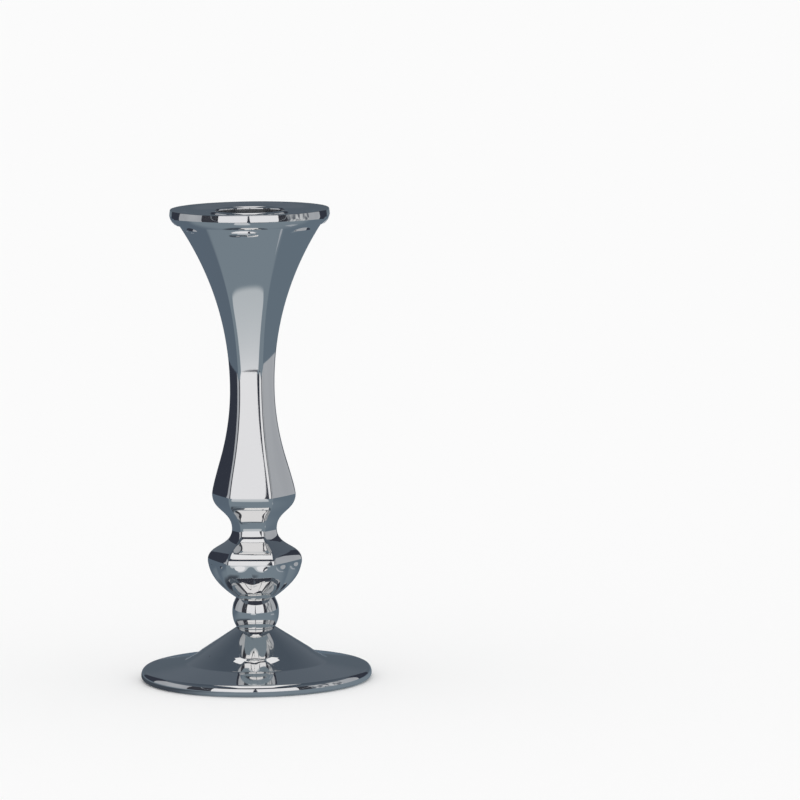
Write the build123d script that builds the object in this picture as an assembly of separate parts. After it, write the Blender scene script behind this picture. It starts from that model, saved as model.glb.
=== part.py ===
from build123d import *
import os
from math import cos, radians, sqrt

# Weighted candlestick, built as a stack of thin shells on a central tie rod.
# Millimetres, +Z up, origin at the centre of the underside, one flat of the six-sided stem faces -Y.

# --- Driving dimensions -------------------------------------------------------------------------
CANDLE_R = 11.25            # bore for a 22 mm dinner candle
SHEET = 0.8                 # tube and plate wall
SHELL = 1.0                 # wall of the stamped and spun shells, measured level (stem) or upright (foot)
RUN_GAP = 0.05              # radial running clearance of the lift-out cup in its sleeve
SEAT_GAP = 0.05             # gap left where solder or poured filler joins two curved faces

PAN_TOP = 149.3             # crest of the pan's rounded edge
PAN_INNER_R = 23.8
PAN_H = 4.6
PAN_CREST_R = 24.6
PAN_TURN = (24.93, PAN_TOP)
PAN_SHOULDER = (25.0, 149.1)            # the edge turns over here, then falls in one full curve
PAN_EDGE_PULLS = ((25.31, 147.15), (25.46, 146.34))
PAN_UNDER_R = 23.75                     # flat underside starts here
PAN_DISH = 1.25             # how far the pan sinks towards the cup
RETURN_R = 17.0             # the return under the pan reaches in to here
MOUTH_R = 22.7              # corner radius of the stem at its mouth
MOUTH_Z = PAN_TOP - PAN_H
MOUTH_RING_R = 19.9         # round bearing ring that stands out of the flats under the pan
MOUTH_RING_H = 2.0

WAIST_R, WAIST_Z = 7.05, 92.9
MOUTH_PULL = 0.54           # share of the way up from the waist where the upper flare's tangents meet
FLARE = 0.00648             # below the waist the radius grows by FLARE * (distance from it) squared
FLARE_FOOT_Z = 69.9         # where that parabola meets the bulge
BULGE_R, BULGE_Z = 13.25, 58.9
BULGE_PULLS = (0.5, 0.48)   # how far the bulge's underside leans on its end tangents, low and high
NECK_R, NECK_Z = 7.1, 47.85
KNOP_R, KNOP_Z = 14.95, 37.85
KNOP_PULLS = (0.51, 0.575)  # the same for the knop's upper half
KNOP_SPREAD = 1.5           # radius gained per height where the lower half leaves its base
KNOP_BASE_R, KNOP_BASE_Z = 6.5, 26.1

COLLAR_TOP_R, COLLAR_R, COLLAR_FOOT_R = 6.05, 7.4, 6.05
COLLAR_FOOT_Z = 16.5

FOOT_R = 36.5
FOOT_EDGE_R = 1.35          # rounding of the lower edge
FOOT_LIFT = 0.1             # the metal edge stands this far off the table, the pad touches it
FOOT_EDGE_TOP = 3.7         # the brim meets the rounded edge at this height
CONE_FOOT = (17.45, 9.0)    # the foot's steep cone ends here
CONE_CORNER = (19.55, 7.35)
BRIM_START = (22.8, 5.7)    # and its shallow brim starts here
LIP_R = 33.6                # crimped lip that holds the closing plate

ROD_R = 3.0                 # M6 tie rod
ROD_HOLE_R = 3.2
ROD_THREAD_GAP = 0.05
PAD_H = 1.0
PAD_GAP = 0.3               # around the pad, inside the crimped lip
WELL_R = 8.0                # recess in the closing plate for washer and nut
WELL_TOP_Z = 7.2
WELL_GAP = 0.2              # between the well and the poured filler
PLATE_GAP = 0.25            # around the closing plate, inside the foot's edge
WASHER_R, WASHER_H = 6.0, 1.0
NUT_FLATS, NUT_H = 10.0, 3.2
ROD_BOTTOM_Z, ROD_TOP_Z = 1.8, 53.2
ROD_CHAMFER, NUT_CHAMFER = 0.4, 0.5
BOSS_TOP_Z = 55.2
PAD_ROUND = 0.3

CUP_R = CANDLE_R + SHEET
CUP_FLOOR_Z = 134.2         # the candle stands here
BEAD_R = 12.6               # bright bead around the opening
BEAD_H = 0.9
PAN_SEAT_R = BEAD_R + 0.4   # the pan stays level out to here, under the bead
SLEEVE_BOTTOM_Z = 133.2
SLEEVE_R = CUP_R + RUN_GAP
SLEEVE_FLANGE_APOTHEM = 17.6
SIDES = 6
FLAT = cos(radians(180 / SIDES))    # apothem of a six-sided section over its corner radius
FAR = 60.0                  # longer than the stem is wide


# --- Shared shapes ------------------------------------------------------------------------------
def turned(*edges):
    """A solid of revolution about Z from a closed outline of (radius, height) edges."""
    outline = make_face(Curve() + list(edges))
    return revolve(Plane.XZ * outline, axis=Axis.Z)


def tube(outer_r, inner_r, bottom, top):
    """A plain ring with square corners."""
    height = top - bottom
    ring = Circle(outer_r) - Circle(inner_r)
    return extrude(Pos(0, 0, bottom) * ring, amount=height)


def six_sided(side_edges, bottom, top):
    """Three crossed slabs, so that every level section is a regular hexagon."""
    (low_r, low_z), (high_r, high_z) = bottom, top
    mirror_edges = [edge.mirror(Plane.YZ) for edge in side_edges]
    cap = Line((low_r, low_z), (-low_r, low_z))
    lid = Line((high_r, high_z), (-high_r, high_z))
    outline = make_face(Curve() + side_edges + mirror_edges + [cap, lid])
    slab = extrude(Plane.YZ * outline, amount=FAR, both=True)
    solid = slab
    for turn in range(1, SIDES // 2):
        solid = solid & (Rot(0, 0, turn * 360 / SIDES) * slab)
    return solid


def apothem(corner_r, inset):
    return corner_r * FLAT - inset


# --- Stem outlines: corner radius against height, laid out as apothem curves ---------------------
def s_curve(low, high, pulls):
    """From one point to another further up, upright at both ends."""
    (low_r, low_z), (high_r, high_z) = low, high
    rise = high_z - low_z
    return Bezier(low, (low_r, low_z + pulls[0] * rise), (high_r, high_z - pulls[1] * rise), high)


def column_sides(inset):
    """Bulge, lower flare down to the waist, upper flare to the mouth."""
    neck = apothem(NECK_R, inset)
    bulge = apothem(BULGE_R, inset)
    waist = apothem(WAIST_R, inset)
    mouth = apothem(MOUTH_R, inset)
    fall = WAIST_Z - FLARE_FOOT_Z
    flare_low = apothem(WAIST_R + FLARE * fall ** 2, inset)
    slope = 2 * FLARE * fall * FLAT
    shoulder_z = FLARE_FOOT_Z - (bulge - flare_low) / slope
    lower_z = WAIST_Z - fall / 2
    upper_z = WAIST_Z + MOUTH_PULL * (MOUTH_Z - WAIST_Z)
    return [
        s_curve((neck, NECK_Z), (bulge, BULGE_Z), BULGE_PULLS),
        Bezier((bulge, BULGE_Z), (bulge, shoulder_z), (flare_low, FLARE_FOOT_Z)),
        Bezier((flare_low, FLARE_FOOT_Z), (waist, lower_z), (waist, WAIST_Z)),
        Bezier((waist, WAIST_Z), (waist, upper_z), (mouth, MOUTH_Z)),
    ]


def column_solid(inset):
    sides = column_sides(inset)
    low = (apothem(NECK_R, inset), NECK_Z)
    high = (apothem(MOUTH_R, inset), MOUTH_Z)
    return six_sided(sides, low, high)


def knop_upper_solid(inset):
    neck = apothem(NECK_R, inset)
    wide = apothem(KNOP_R, inset)
    side = s_curve((wide, KNOP_Z), (neck, NECK_Z), KNOP_PULLS)
    return six_sided([side], (wide, KNOP_Z), (neck, NECK_Z))


def knop_lower_solid(inset):
    base = apothem(KNOP_BASE_R, inset)
    wide = apothem(KNOP_R, inset)
    corner_z = KNOP_BASE_Z + (wide - base) / (KNOP_SPREAD * FLAT)
    side = Bezier((base, KNOP_BASE_Z), (wide, corner_z), (wide, KNOP_Z))
    return six_sided([side], (base, KNOP_BASE_Z), (wide, KNOP_Z))


def level_cut(solid, bottom, top):
    """The part of a solid between two heights."""
    block = Box(2 * FAR, 2 * FAR, top - bottom, align=(Align.CENTER, Align.CENTER, Align.MIN))
    return solid & (Pos(0, 0, bottom) * block)


# --- Nozzle: the pair that lifts out for cleaning -------------------------------------------------
def drip_pan():
    """Spun disc: dished top, full edge, flat return that rests on the stem's mouth."""
    hole_r = CUP_R
    rise_r = (PAN_SEAT_R + PAN_CREST_R) / 2
    dish_z = PAN_TOP - PAN_DISH
    under_z = dish_z - SHELL
    inner_top = PAN_TOP - SHELL
    inner_low = MOUTH_Z + SHELL
    crest = (PAN_CREST_R, PAN_TOP)
    return turned(
        Line((hole_r, under_z), (hole_r, dish_z)),
        Line((hole_r, dish_z), (PAN_SEAT_R, dish_z)),
        Bezier((PAN_SEAT_R, dish_z), (rise_r, dish_z), (rise_r, PAN_TOP), crest),
        Bezier(crest, PAN_TURN, PAN_SHOULDER),
        Bezier(PAN_SHOULDER, *PAN_EDGE_PULLS, (PAN_UNDER_R, MOUTH_Z)),
        Line((PAN_UNDER_R, MOUTH_Z), (RETURN_R, MOUTH_Z)),
        Line((RETURN_R, MOUTH_Z), (RETURN_R, inner_low)),
        Line((RETURN_R, inner_low), (PAN_INNER_R, inner_low)),
        Line((PAN_INNER_R, inner_low), (PAN_INNER_R, inner_top)),
        Bezier((PAN_INNER_R, inner_top), (rise_r, inner_top), (rise_r, under_z), (PAN_SEAT_R, under_z)),
        Line((PAN_SEAT_R, under_z), (hole_r, under_z)),
    )


def candle_cup():
    """Drawn cup with a closed floor and a full bead rolled over the pan."""
    seat_z = PAN_TOP - PAN_DISH
    bottom = CUP_FLOOR_Z - SHEET
    bead_half = (BEAD_R - CANDLE_R) / 2
    bead_middle = (CANDLE_R + bead_half, seat_z)
    return turned(
        Line((0, bottom), (CUP_R, bottom)),
        Line((CUP_R, bottom), (CUP_R, seat_z)),
        Line((CUP_R, seat_z), (BEAD_R, seat_z)),
        EllipticalCenterArc(bead_middle, bead_half, BEAD_H, start_angle=0, arc_size=180),
        Line((CANDLE_R, seat_z), (CANDLE_R, CUP_FLOOR_Z)),
        Line((CANDLE_R, CUP_FLOOR_Z), (0, CUP_FLOOR_Z)),
        Line((0, CUP_FLOOR_Z), (0, bottom)),
    )


# --- Stem ----------------------------------------------------------------------------------------
def column():
    """Six-sided flared shell, open at both ends, with a round bearing ring let into its mouth."""
    ring = Pos(0, 0, MOUTH_Z - MOUTH_RING_H / 2) * Cylinder(MOUTH_RING_R, MOUTH_RING_H)
    return column_solid(0) + ring - column_solid(SHELL)


def socket_sleeve():
    """Hexagonal plate soldered in the mouth, with the tube that guides the cup."""
    top = MOUTH_Z - 2 * SEAT_GAP
    plate = extrude(Pos(0, 0, top - SHEET) * RegularPolygon(SLEEVE_FLANGE_APOTHEM / FLAT, SIDES), amount=SHEET)
    guide = tube(SLEEVE_R + SHEET, SLEEVE_R, SLEEVE_BOTTOM_Z, top)
    return (plate - Pos(0, 0, top) * Cylinder(SLEEVE_R, 4 * SHEET)) + guide


def rod_boss():
    """Brass plug soldered inside the neck, tapped for the tie rod."""
    plug = level_cut(column_solid(SHELL + SEAT_GAP), NECK_Z, BOSS_TOP_Z)
    return plug - Pos(0, 0, NECK_Z) * Cylinder(ROD_R + ROD_THREAD_GAP, 2 * FAR)


def knop_upper():
    """Upper stamping, closed across the neck except for the rod hole."""
    hollow = level_cut(knop_upper_solid(SHELL), KNOP_Z, NECK_Z - SHEET)
    return knop_upper_solid(0) - hollow - Pos(0, 0, NECK_Z) * Cylinder(ROD_HOLE_R, 4 * SHEET)


def knop_lower():
    """Lower stamping, closed across its base except for the rod hole."""
    hollow = level_cut(knop_lower_solid(SHELL), KNOP_BASE_Z + SHEET, KNOP_Z)
    return knop_lower_solid(0) - hollow - Pos(0, 0, KNOP_BASE_Z) * Cylinder(ROD_HOLE_R, 4 * SHEET)


def collar():
    """Turned ring between knop and foot."""
    mid_z = (COLLAR_FOOT_Z + KNOP_BASE_Z) / 2
    return turned(
        Line((ROD_HOLE_R, COLLAR_FOOT_Z), (COLLAR_FOOT_R, COLLAR_FOOT_Z)),
        ThreePointArc((COLLAR_FOOT_R, COLLAR_FOOT_Z), (COLLAR_R, mid_z), (COLLAR_TOP_R, KNOP_BASE_Z)),
        Line((COLLAR_TOP_R, KNOP_BASE_Z), (ROD_HOLE_R, KNOP_BASE_Z)),
        Line((ROD_HOLE_R, KNOP_BASE_Z), (ROD_HOLE_R, COLLAR_FOOT_Z)),
    )


# --- Foot ----------------------------------------------------------------------------------------
def dome_edges(drop):
    """Cone, soft corner and shallow brim of the foot, lowered by drop, from the centre outwards."""
    brim_end = (FOOT_R - FOOT_EDGE_R, FOOT_EDGE_TOP)
    top = (COLLAR_FOOT_R, COLLAR_FOOT_Z - drop)
    cone = (CONE_FOOT[0], CONE_FOOT[1] - drop)
    corner = (CONE_CORNER[0], CONE_CORNER[1] - drop)
    brim = (BRIM_START[0], BRIM_START[1] - drop)
    edge = (brim_end[0], brim_end[1] - drop)
    return [Line(top, cone), Bezier(cone, corner, brim), Line(brim, edge)]


def foot():
    """Spun shell: cone, brim, rounded edge and the lip crimped under the closing plate."""
    edge_r = FOOT_R - FOOT_EDGE_R
    edge_mid = FOOT_LIFT + FOOT_EDGE_R
    edge_half = FOOT_EDGE_TOP - edge_mid
    cap = COLLAR_FOOT_Z
    inner_edge_top = FOOT_EDGE_TOP - SHELL
    return turned(
        Line((ROD_HOLE_R, cap), (COLLAR_FOOT_R, cap)),
        *dome_edges(0),
        EllipticalCenterArc((edge_r, edge_mid), FOOT_EDGE_R, edge_half, start_angle=0, arc_size=90),
        EllipticalCenterArc((edge_r, edge_mid), FOOT_EDGE_R, FOOT_EDGE_R, start_angle=-90, arc_size=90),
        Line((edge_r, FOOT_LIFT), (LIP_R, FOOT_LIFT)),
        Line((LIP_R, FOOT_LIFT), (LIP_R, PAD_H)),
        Line((LIP_R, PAD_H), (edge_r, PAD_H)),
        Line((edge_r, PAD_H), (edge_r, inner_edge_top)),
        *dome_edges(SHELL),
        Line((COLLAR_FOOT_R, cap - SHELL), (ROD_HOLE_R, cap - SHELL)),
        Line((ROD_HOLE_R, cap - SHELL), (ROD_HOLE_R, cap)),
    )


def foot_weight():
    """Filler poured under the dome, with a hollow for the plate's well."""
    gap = SEAT_GAP
    bottom = PAD_H + SHEET
    well_r = WELL_R + SHEET + WELL_GAP
    well_top = WELL_TOP_Z
    edge_r = FOOT_R - FOOT_EDGE_R
    edge_top = FOOT_EDGE_TOP - SHELL - gap
    cap = COLLAR_FOOT_Z - SHELL - gap
    return turned(
        Line((ROD_HOLE_R, well_top), (ROD_HOLE_R, cap)),
        Line((ROD_HOLE_R, cap), (COLLAR_FOOT_R, cap)),
        *dome_edges(SHELL + gap),
        Line((edge_r, edge_top), (edge_r, bottom)),
        Line((edge_r, bottom), (well_r, bottom)),
        Line((well_r, bottom), (well_r, well_top)),
        Line((well_r, well_top), (ROD_HOLE_R, well_top)),
    )


def closing_plate():
    """Steel disc with a raised well that keeps the nut above the table."""
    outer_r = FOOT_R - FOOT_EDGE_R - PLATE_GAP
    low, high = PAD_H, PAD_H + SHEET
    well_low = WELL_TOP_Z - SHEET
    wall_r = WELL_R + SHEET
    return turned(
        Line((ROD_HOLE_R, well_low), (WELL_R, well_low)),
        Line((WELL_R, well_low), (WELL_R, low)),
        Line((WELL_R, low), (outer_r, low)),
        Line((outer_r, low), (outer_r, high)),
        Line((outer_r, high), (wall_r, high)),
        Line((wall_r, high), (wall_r, WELL_TOP_Z)),
        Line((wall_r, WELL_TOP_Z), (ROD_HOLE_R, WELL_TOP_Z)),
        Line((ROD_HOLE_R, WELL_TOP_Z), (ROD_HOLE_R, well_low)),
    )


def tie_rod():
    """Threaded rod, drawn at its major radius without the thread, ends chamfered."""
    length = ROD_TOP_Z - ROD_BOTTOM_Z
    rod = Pos(0, 0, ROD_BOTTOM_Z) * Cylinder(ROD_R, length, align=(Align.CENTER, Align.CENTER, Align.MIN))
    return chamfer(rod.edges().filter_by(GeomType.CIRCLE), ROD_CHAMFER)


def clamp_washer():
    top = WELL_TOP_Z - SHEET
    return tube(WASHER_R, ROD_HOLE_R, top - WASHER_H, top)


def clamp_nut():
    """Thin hexagon nut with its corners turned down on both faces."""
    top = WELL_TOP_Z - SHEET - WASHER_H
    corner_r = NUT_FLATS / sqrt(3)
    blank = extrude(Pos(0, 0, top - NUT_H) * RegularPolygon(corner_r, SIDES), amount=NUT_H)
    round_bar = Pos(0, 0, top - NUT_H / 2) * Cylinder(corner_r, NUT_H)
    round_bar = chamfer(round_bar.edges().filter_by(GeomType.CIRCLE), NUT_CHAMFER)
    return (blank & round_bar) - Pos(0, 0, top) * Cylinder(ROD_R + ROD_THREAD_GAP, 4 * NUT_H)


def felt_pad():
    """Baize disc glued to the closing plate, edge slightly rounded."""
    pad = Cylinder(LIP_R - PAD_GAP, PAD_H, align=(Align.CENTER, Align.CENTER, Align.MIN))
    lower_edge = pad.edges().filter_by(GeomType.CIRCLE).sort_by(Axis.Z)[0]
    return fillet(lower_edge, PAD_ROUND)


PIECES = [
    drip_pan, candle_cup, column, socket_sleeve, rod_boss, knop_upper, knop_lower, collar,
    foot, foot_weight, closing_plate, tie_rod, clamp_washer, clamp_nut, felt_pad,
]

os.makedirs("parts", exist_ok=True)
for piece in PIECES:
    export_step(piece(), f"parts/{piece.__name__}.step")
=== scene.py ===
from math import atan2, cos, pi, radians, sin, sqrt

import bmesh
import bpy
import numpy as np
from mathutils import Matrix, Vector


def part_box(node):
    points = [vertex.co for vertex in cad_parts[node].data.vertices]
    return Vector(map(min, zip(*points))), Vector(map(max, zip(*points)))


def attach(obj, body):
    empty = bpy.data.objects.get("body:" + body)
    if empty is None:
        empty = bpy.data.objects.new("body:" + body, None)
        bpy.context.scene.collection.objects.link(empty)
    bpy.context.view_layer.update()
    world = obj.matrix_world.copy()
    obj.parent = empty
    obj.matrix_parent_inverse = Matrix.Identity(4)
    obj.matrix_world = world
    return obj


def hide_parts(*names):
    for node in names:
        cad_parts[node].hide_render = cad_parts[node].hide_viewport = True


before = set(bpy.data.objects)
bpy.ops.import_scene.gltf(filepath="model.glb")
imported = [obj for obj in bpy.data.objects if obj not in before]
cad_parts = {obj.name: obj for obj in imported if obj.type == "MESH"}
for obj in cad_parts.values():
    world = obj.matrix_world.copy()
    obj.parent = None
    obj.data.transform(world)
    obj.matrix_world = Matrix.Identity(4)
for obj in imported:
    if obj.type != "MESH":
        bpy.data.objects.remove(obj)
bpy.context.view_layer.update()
MM = 0.001

# --- Extents read from the frame ------------------------------------------------------------------
PAN_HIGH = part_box("drip_pan")[1]
CUP_LOW, CUP_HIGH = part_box("candle_cup")
COLUMN_LOW, COLUMN_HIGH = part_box("column")
SLEEVE_LOW, SLEEVE_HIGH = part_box("socket_sleeve")
KNOP_UP_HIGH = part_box("knop_upper")[1]
KNOP_LOW_LOW, KNOP_LOW_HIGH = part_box("knop_lower")
COLLAR_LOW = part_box("collar")[0]
FOOT_LOW, FOOT_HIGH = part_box("foot")
PAD_LOW, PAD_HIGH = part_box("felt_pad")
ROD_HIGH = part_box("tie_rod")[1]

PAN_TOP = PAN_HIGH.z
MOUTH_Z = COLUMN_HIGH.z
NECK_Z = COLUMN_LOW.z
KNOP_Z = KNOP_LOW_HIGH.z
KNOP_BASE_Z = KNOP_LOW_LOW.z
COLLAR_FOOT_Z = COLLAR_LOW.z

# --- Driving dimensions of the visible metal, as in the CAD source ---------------------------------
SHELL = 1.0 * MM
SHEET = 0.8 * MM
CANDLE_R = 11.25 * MM
CUP_FLOOR_Z = CUP_LOW.z + SHEET
CUP_R = CANDLE_R + SHEET
BEAD_R = CUP_HIGH.x
PAN_CREST_R = 24.6 * MM
PAN_TURN_R = 24.93 * MM
PAN_SHOULDER = (25.0 * MM, 149.1 * MM)
PAN_EDGE_PULLS = [(25.31 * MM, 147.15 * MM), (25.46 * MM, 146.34 * MM)]
PAN_UNDER_R = 23.75 * MM
PAN_INNER_R = 23.8 * MM
PAN_DISH = 1.25 * MM
PAN_SEAT_R = BEAD_R + 0.4 * MM
CUP_SEAT_Z = PAN_TOP - PAN_DISH
RETURN_R = 17.0 * MM
MOUTH_R = COLUMN_HIGH.x
MOUTH_RING_R = COLUMN_HIGH.y + 0.5 * MM     # the flats are slightly full here, so the ring follows them
MOUTH_RING_H = 2.0 * MM
WAIST_R, WAIST_Z = 7.05 * MM, 92.9 * MM
MOUTH_PULL = 0.54
FLARE = 6.48                # radius gained below the waist per distance squared, in metres
FLARE_FOOT_Z = 69.9 * MM
BULGE_R, BULGE_Z = 13.25 * MM, 58.9 * MM
BULGE_PULLS = (0.5, 0.48)
NECK_R = 7.1 * MM
KNOP_R = KNOP_UP_HIGH.x
KNOP_PULLS = (0.51, 0.575)
KNOP_SPREAD = 1.5
KNOP_BASE_R = 6.5 * MM
COLLAR_TOP_R, COLLAR_R, COLLAR_FOOT_R = 6.05 * MM, 7.4 * MM, 6.05 * MM
FOOT_R = FOOT_HIGH.x
FOOT_EDGE_R = 1.35 * MM
FOOT_EDGE_TOP = 3.7 * MM
CONE_FOOT = (17.45 * MM, 9.0 * MM)
CONE_CORNER = (19.55 * MM, 7.35 * MM)
BRIM_START = (22.8 * MM, 5.7 * MM)
LIP_R = 33.6 * MM
RUN_GAP = 0.05 * MM
ROD_HOLE_R = ROD_HIGH.x * 1.07
CUP_FLOOR_ROUND = 0.8 * MM
SIDES = 6
STEP = 2 * pi / SIDES
AROUND = 256                # columns of quads around a turned piece

# --- Softness of the finished metal, which the CAD leaves out -------------------------------------
EDGE_ROUND = 1.5 * MM       # rounding of the six edges up the stem
MOUTH_ROUND = 3.0 * MM      # and what is added to it at the mouth
SWELL = 4.5                 # fullness of the flats up the stem, in degrees
MOUTH_SWELL = 0.7           # and what is added to it at the mouth
SOFT_FROM_Z = 110 * MM      # both additions grow from here up
RING_TOP_ROLL = 0.35 * MM   # the bearing ring rolls back this far under the pan
RING_FOOT_ROLL = 0.25 * MM
RING_STEPS = 24
LOBES = 2 * SIDES
LOBE_DEPTH = 0.6 * MM
LOBE_SHARPNESS = 1.3        # above 1 the valleys are wider than the crests
LOBE_VALLEY = 0.3           # share of the depth that is cut in rather than stood out
LOBE_COLUMNS = 16
LOBES_FULL = 0.22           # share of the way down where the lobes are at full depth
LOBE_FADE = (0.4, 0.95)     # and between these shares they fade
LOBE_FADED = 0.85           # by this share of their depth
ROUND_FROM = 0.35           # the lower knop turns from six-sided to round from this share down
ROUND_SHARE = 0.955         # radius of that round over the corner radius


# --- Outline helpers ------------------------------------------------------------------------------
def arc(centre, across, up, start, end, steps):
    """Points on an ellipse from one angle to another, in degrees."""
    angles = np.radians(np.linspace(start, end, steps + 1))
    return [(centre[0] + across * cos(a), centre[1] + up * sin(a)) for a in angles]


def bezier(points, steps):
    """Points on a quadratic or cubic curve."""
    t = np.linspace(0, 1, steps + 1)[:, None]
    p = [np.array(point, float) for point in points]
    if len(p) == 3:
        curve = (1 - t) ** 2 * p[0] + 2 * t * (1 - t) * p[1] + t ** 2 * p[2]
    else:
        curve = ((1 - t) ** 3 * p[0] + 3 * t * (1 - t) ** 2 * p[1]
                 + 3 * t ** 2 * (1 - t) * p[2] + t ** 3 * p[3])
    return [tuple(point) for point in curve]


def line(start, end, steps=1):
    t = np.linspace(0, 1, steps + 1)[:, None]
    return [tuple(p) for p in (1 - t) * np.array(start, float) + t * np.array(end, float)]


def join(*runs):
    """One outline from several runs, without repeated points."""
    outline = []
    for run in runs:
        for point in run:
            if not outline or abs(point[0] - outline[-1][0]) + abs(point[1] - outline[-1][1]) > 1e-8:
                outline.append(point)
    return outline


def three_point_arc(start, middle, end, steps):
    """The circle through three points, as a run of points."""
    (ax, ay), (bx, by), (cx, cy) = start, middle, end
    d = 2 * (ax * (by - cy) + bx * (cy - ay) + cx * (ay - by))
    a2, b2, c2 = ax * ax + ay * ay, bx * bx + by * by, cx * cx + cy * cy
    ux = (a2 * (by - cy) + b2 * (cy - ay) + c2 * (ay - by)) / d
    uy = (a2 * (cx - bx) + b2 * (ax - cx) + c2 * (bx - ax)) / d
    radius = sqrt((ax - ux) ** 2 + (ay - uy) ** 2)
    angles = [atan2(y - uy, x - ux) for x, y in (start, middle, end)]
    for i in (1, 2):
        while angles[i] - angles[i - 1] > pi:
            angles[i] -= 2 * pi
        while angles[i] - angles[i - 1] < -pi:
            angles[i] += 2 * pi
    sweep = np.linspace(angles[0], angles[2], steps + 1)
    return [(ux + radius * cos(a), uy + radius * sin(a)) for a in sweep]


# --- Mesh helpers ---------------------------------------------------------------------------------
def add_mesh(name, points, faces, smooth_angle=35.0):
    mesh = bpy.data.meshes.new(name)
    mesh.from_pydata([tuple(p) for p in points], [], faces)
    mesh.validate()
    piece = bpy.data.objects.new(name, mesh)
    bpy.context.scene.collection.objects.link(piece)
    shape = bmesh.new()
    shape.from_mesh(mesh)
    bmesh.ops.recalc_face_normals(shape, faces=shape.faces)
    shape.to_mesh(mesh)
    shape.free()
    mesh.polygons.foreach_set("use_smooth", [True] * len(mesh.polygons))
    mesh.set_sharp_from_angle(angle=radians(smooth_angle))
    return piece


def skin(rings, closed):
    """Quads between rings of equal length. Closed joins the last ring to the first."""
    columns = len(rings[0])
    points = [point for ring in rings for point in ring]
    faces = []
    last = len(rings) if closed else len(rings) - 1
    for row in range(last):
        below = row * columns
        above = ((row + 1) % len(rings)) * columns
        for column in range(columns):
            after = (column + 1) % columns
            faces.append((below + column, below + after, above + after, above + column))
    return points, faces


def turned(name, outline, around=AROUND):
    """A turned piece from a closed outline that stays clear of the axis."""
    angles = np.linspace(0, 2 * pi, around, endpoint=False)
    rings = [[(r * cos(a), r * sin(a), z) for a in angles] for r, z in outline]
    return add_mesh(name, *skin(rings, closed=True))


def turned_solid(name, outline, around=AROUND):
    """A turned piece whose outline starts and ends on the axis."""
    angles = np.linspace(0, 2 * pi, around, endpoint=False)
    rings = [[(r * cos(a), r * sin(a), z) for a in angles] for r, z in outline[1:-1]]
    points, faces = skin(rings, closed=False)
    low, high = len(points), len(points) + 1
    points += [(0, 0, outline[0][1]), (0, 0, outline[-1][1])]
    top = (len(rings) - 1) * around
    for column in range(around):
        after = (column + 1) % around
        faces.append((low, after, column))
        faces.append((high, top + column, top + after))
    return add_mesh(name, points, faces)


# --- The six-sided section --------------------------------------------------------------------------
FLAT_STEPS = 26
CORNER_STEPS = 10


def section(seen_r, rounding, swell):
    """A level hexagon with rounded corners and slightly full sides, corner 0 on +X.

    Seen_r is the radius to a rounded corner. Swell is how far the surface turns from the middle
    of a side to the start of a corner, in degrees.
    """
    turn = radians(swell)
    corner_c = seen_r - rounding
    spread = corner_c / (2 * sin(turn))
    side_r = spread + rounding
    side_c = corner_c * cos(STEP / 2) - spread * cos(turn)
    ring = []
    for corner in range(SIDES):
        heading = corner * STEP
        half = STEP / 2 - turn
        for step in range(CORNER_STEPS):
            normal = heading - half + 2 * half * step / CORNER_STEPS
            ring.append((corner_c * cos(heading) + rounding * cos(normal),
                         corner_c * sin(heading) + rounding * sin(normal)))
        heading += STEP / 2
        for step in range(FLAT_STEPS):
            normal = heading - turn + 2 * turn * step / FLAT_STEPS
            ring.append((side_c * cos(heading) + side_r * cos(normal),
                         side_c * sin(heading) + side_r * sin(normal)))
    return ring


def level(ring, z):
    return [(x, y, z) for x, y in ring]


def smooth_step(low, high, value):
    t = min(1.0, max(0.0, (value - low) / (high - low)))
    return t * t * (3 - 2 * t)


def edge_rounding(z):
    """The six edges are crisp up the stem and melt away towards the round mouth."""
    return EDGE_ROUND + MOUTH_ROUND * smooth_step(SOFT_FROM_Z, MOUTH_Z, z) ** 2


def side_swell(z):
    return SWELL + MOUTH_SWELL * smooth_step(SOFT_FROM_Z, MOUTH_Z, z) ** 2


def s_curve(low, high, pulls, steps):
    """From one point to another further up, upright at both ends."""
    (low_r, low_z), (high_r, high_z) = low, high
    rise = high_z - low_z
    low_pull = (low_r, low_z + pulls[0] * rise)
    high_pull = (high_r, high_z - pulls[1] * rise)
    return bezier([low, low_pull, high_pull, high], steps)


def column_outline():
    """(seen corner radius, height) up the column."""
    fall = WAIST_Z - FLARE_FOOT_Z
    flare_low = WAIST_R + FLARE * fall ** 2
    shoulder_z = FLARE_FOOT_Z - (BULGE_R - flare_low) / (2 * FLARE * fall)
    upper_z = WAIST_Z + MOUTH_PULL * (MOUTH_Z - WAIST_Z)
    return join(
        s_curve((NECK_R, NECK_Z), (BULGE_R, BULGE_Z), BULGE_PULLS, 44),
        bezier([(BULGE_R, BULGE_Z), (BULGE_R, shoulder_z), (flare_low, FLARE_FOOT_Z)], 22),
        bezier([(flare_low, FLARE_FOOT_Z), (WAIST_R, WAIST_Z - fall / 2), (WAIST_R, WAIST_Z)], 34),
        bezier([(WAIST_R, WAIST_Z), (WAIST_R, upper_z), (MOUTH_R, MOUTH_Z)], 80),
    )


def at_height(outline, height):
    """Section numbers of the column at a height."""
    r = float(np.interp(height, [z for _, z in outline], [r for r, _ in outline]))
    return r, edge_rounding(height), side_swell(height)


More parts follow.
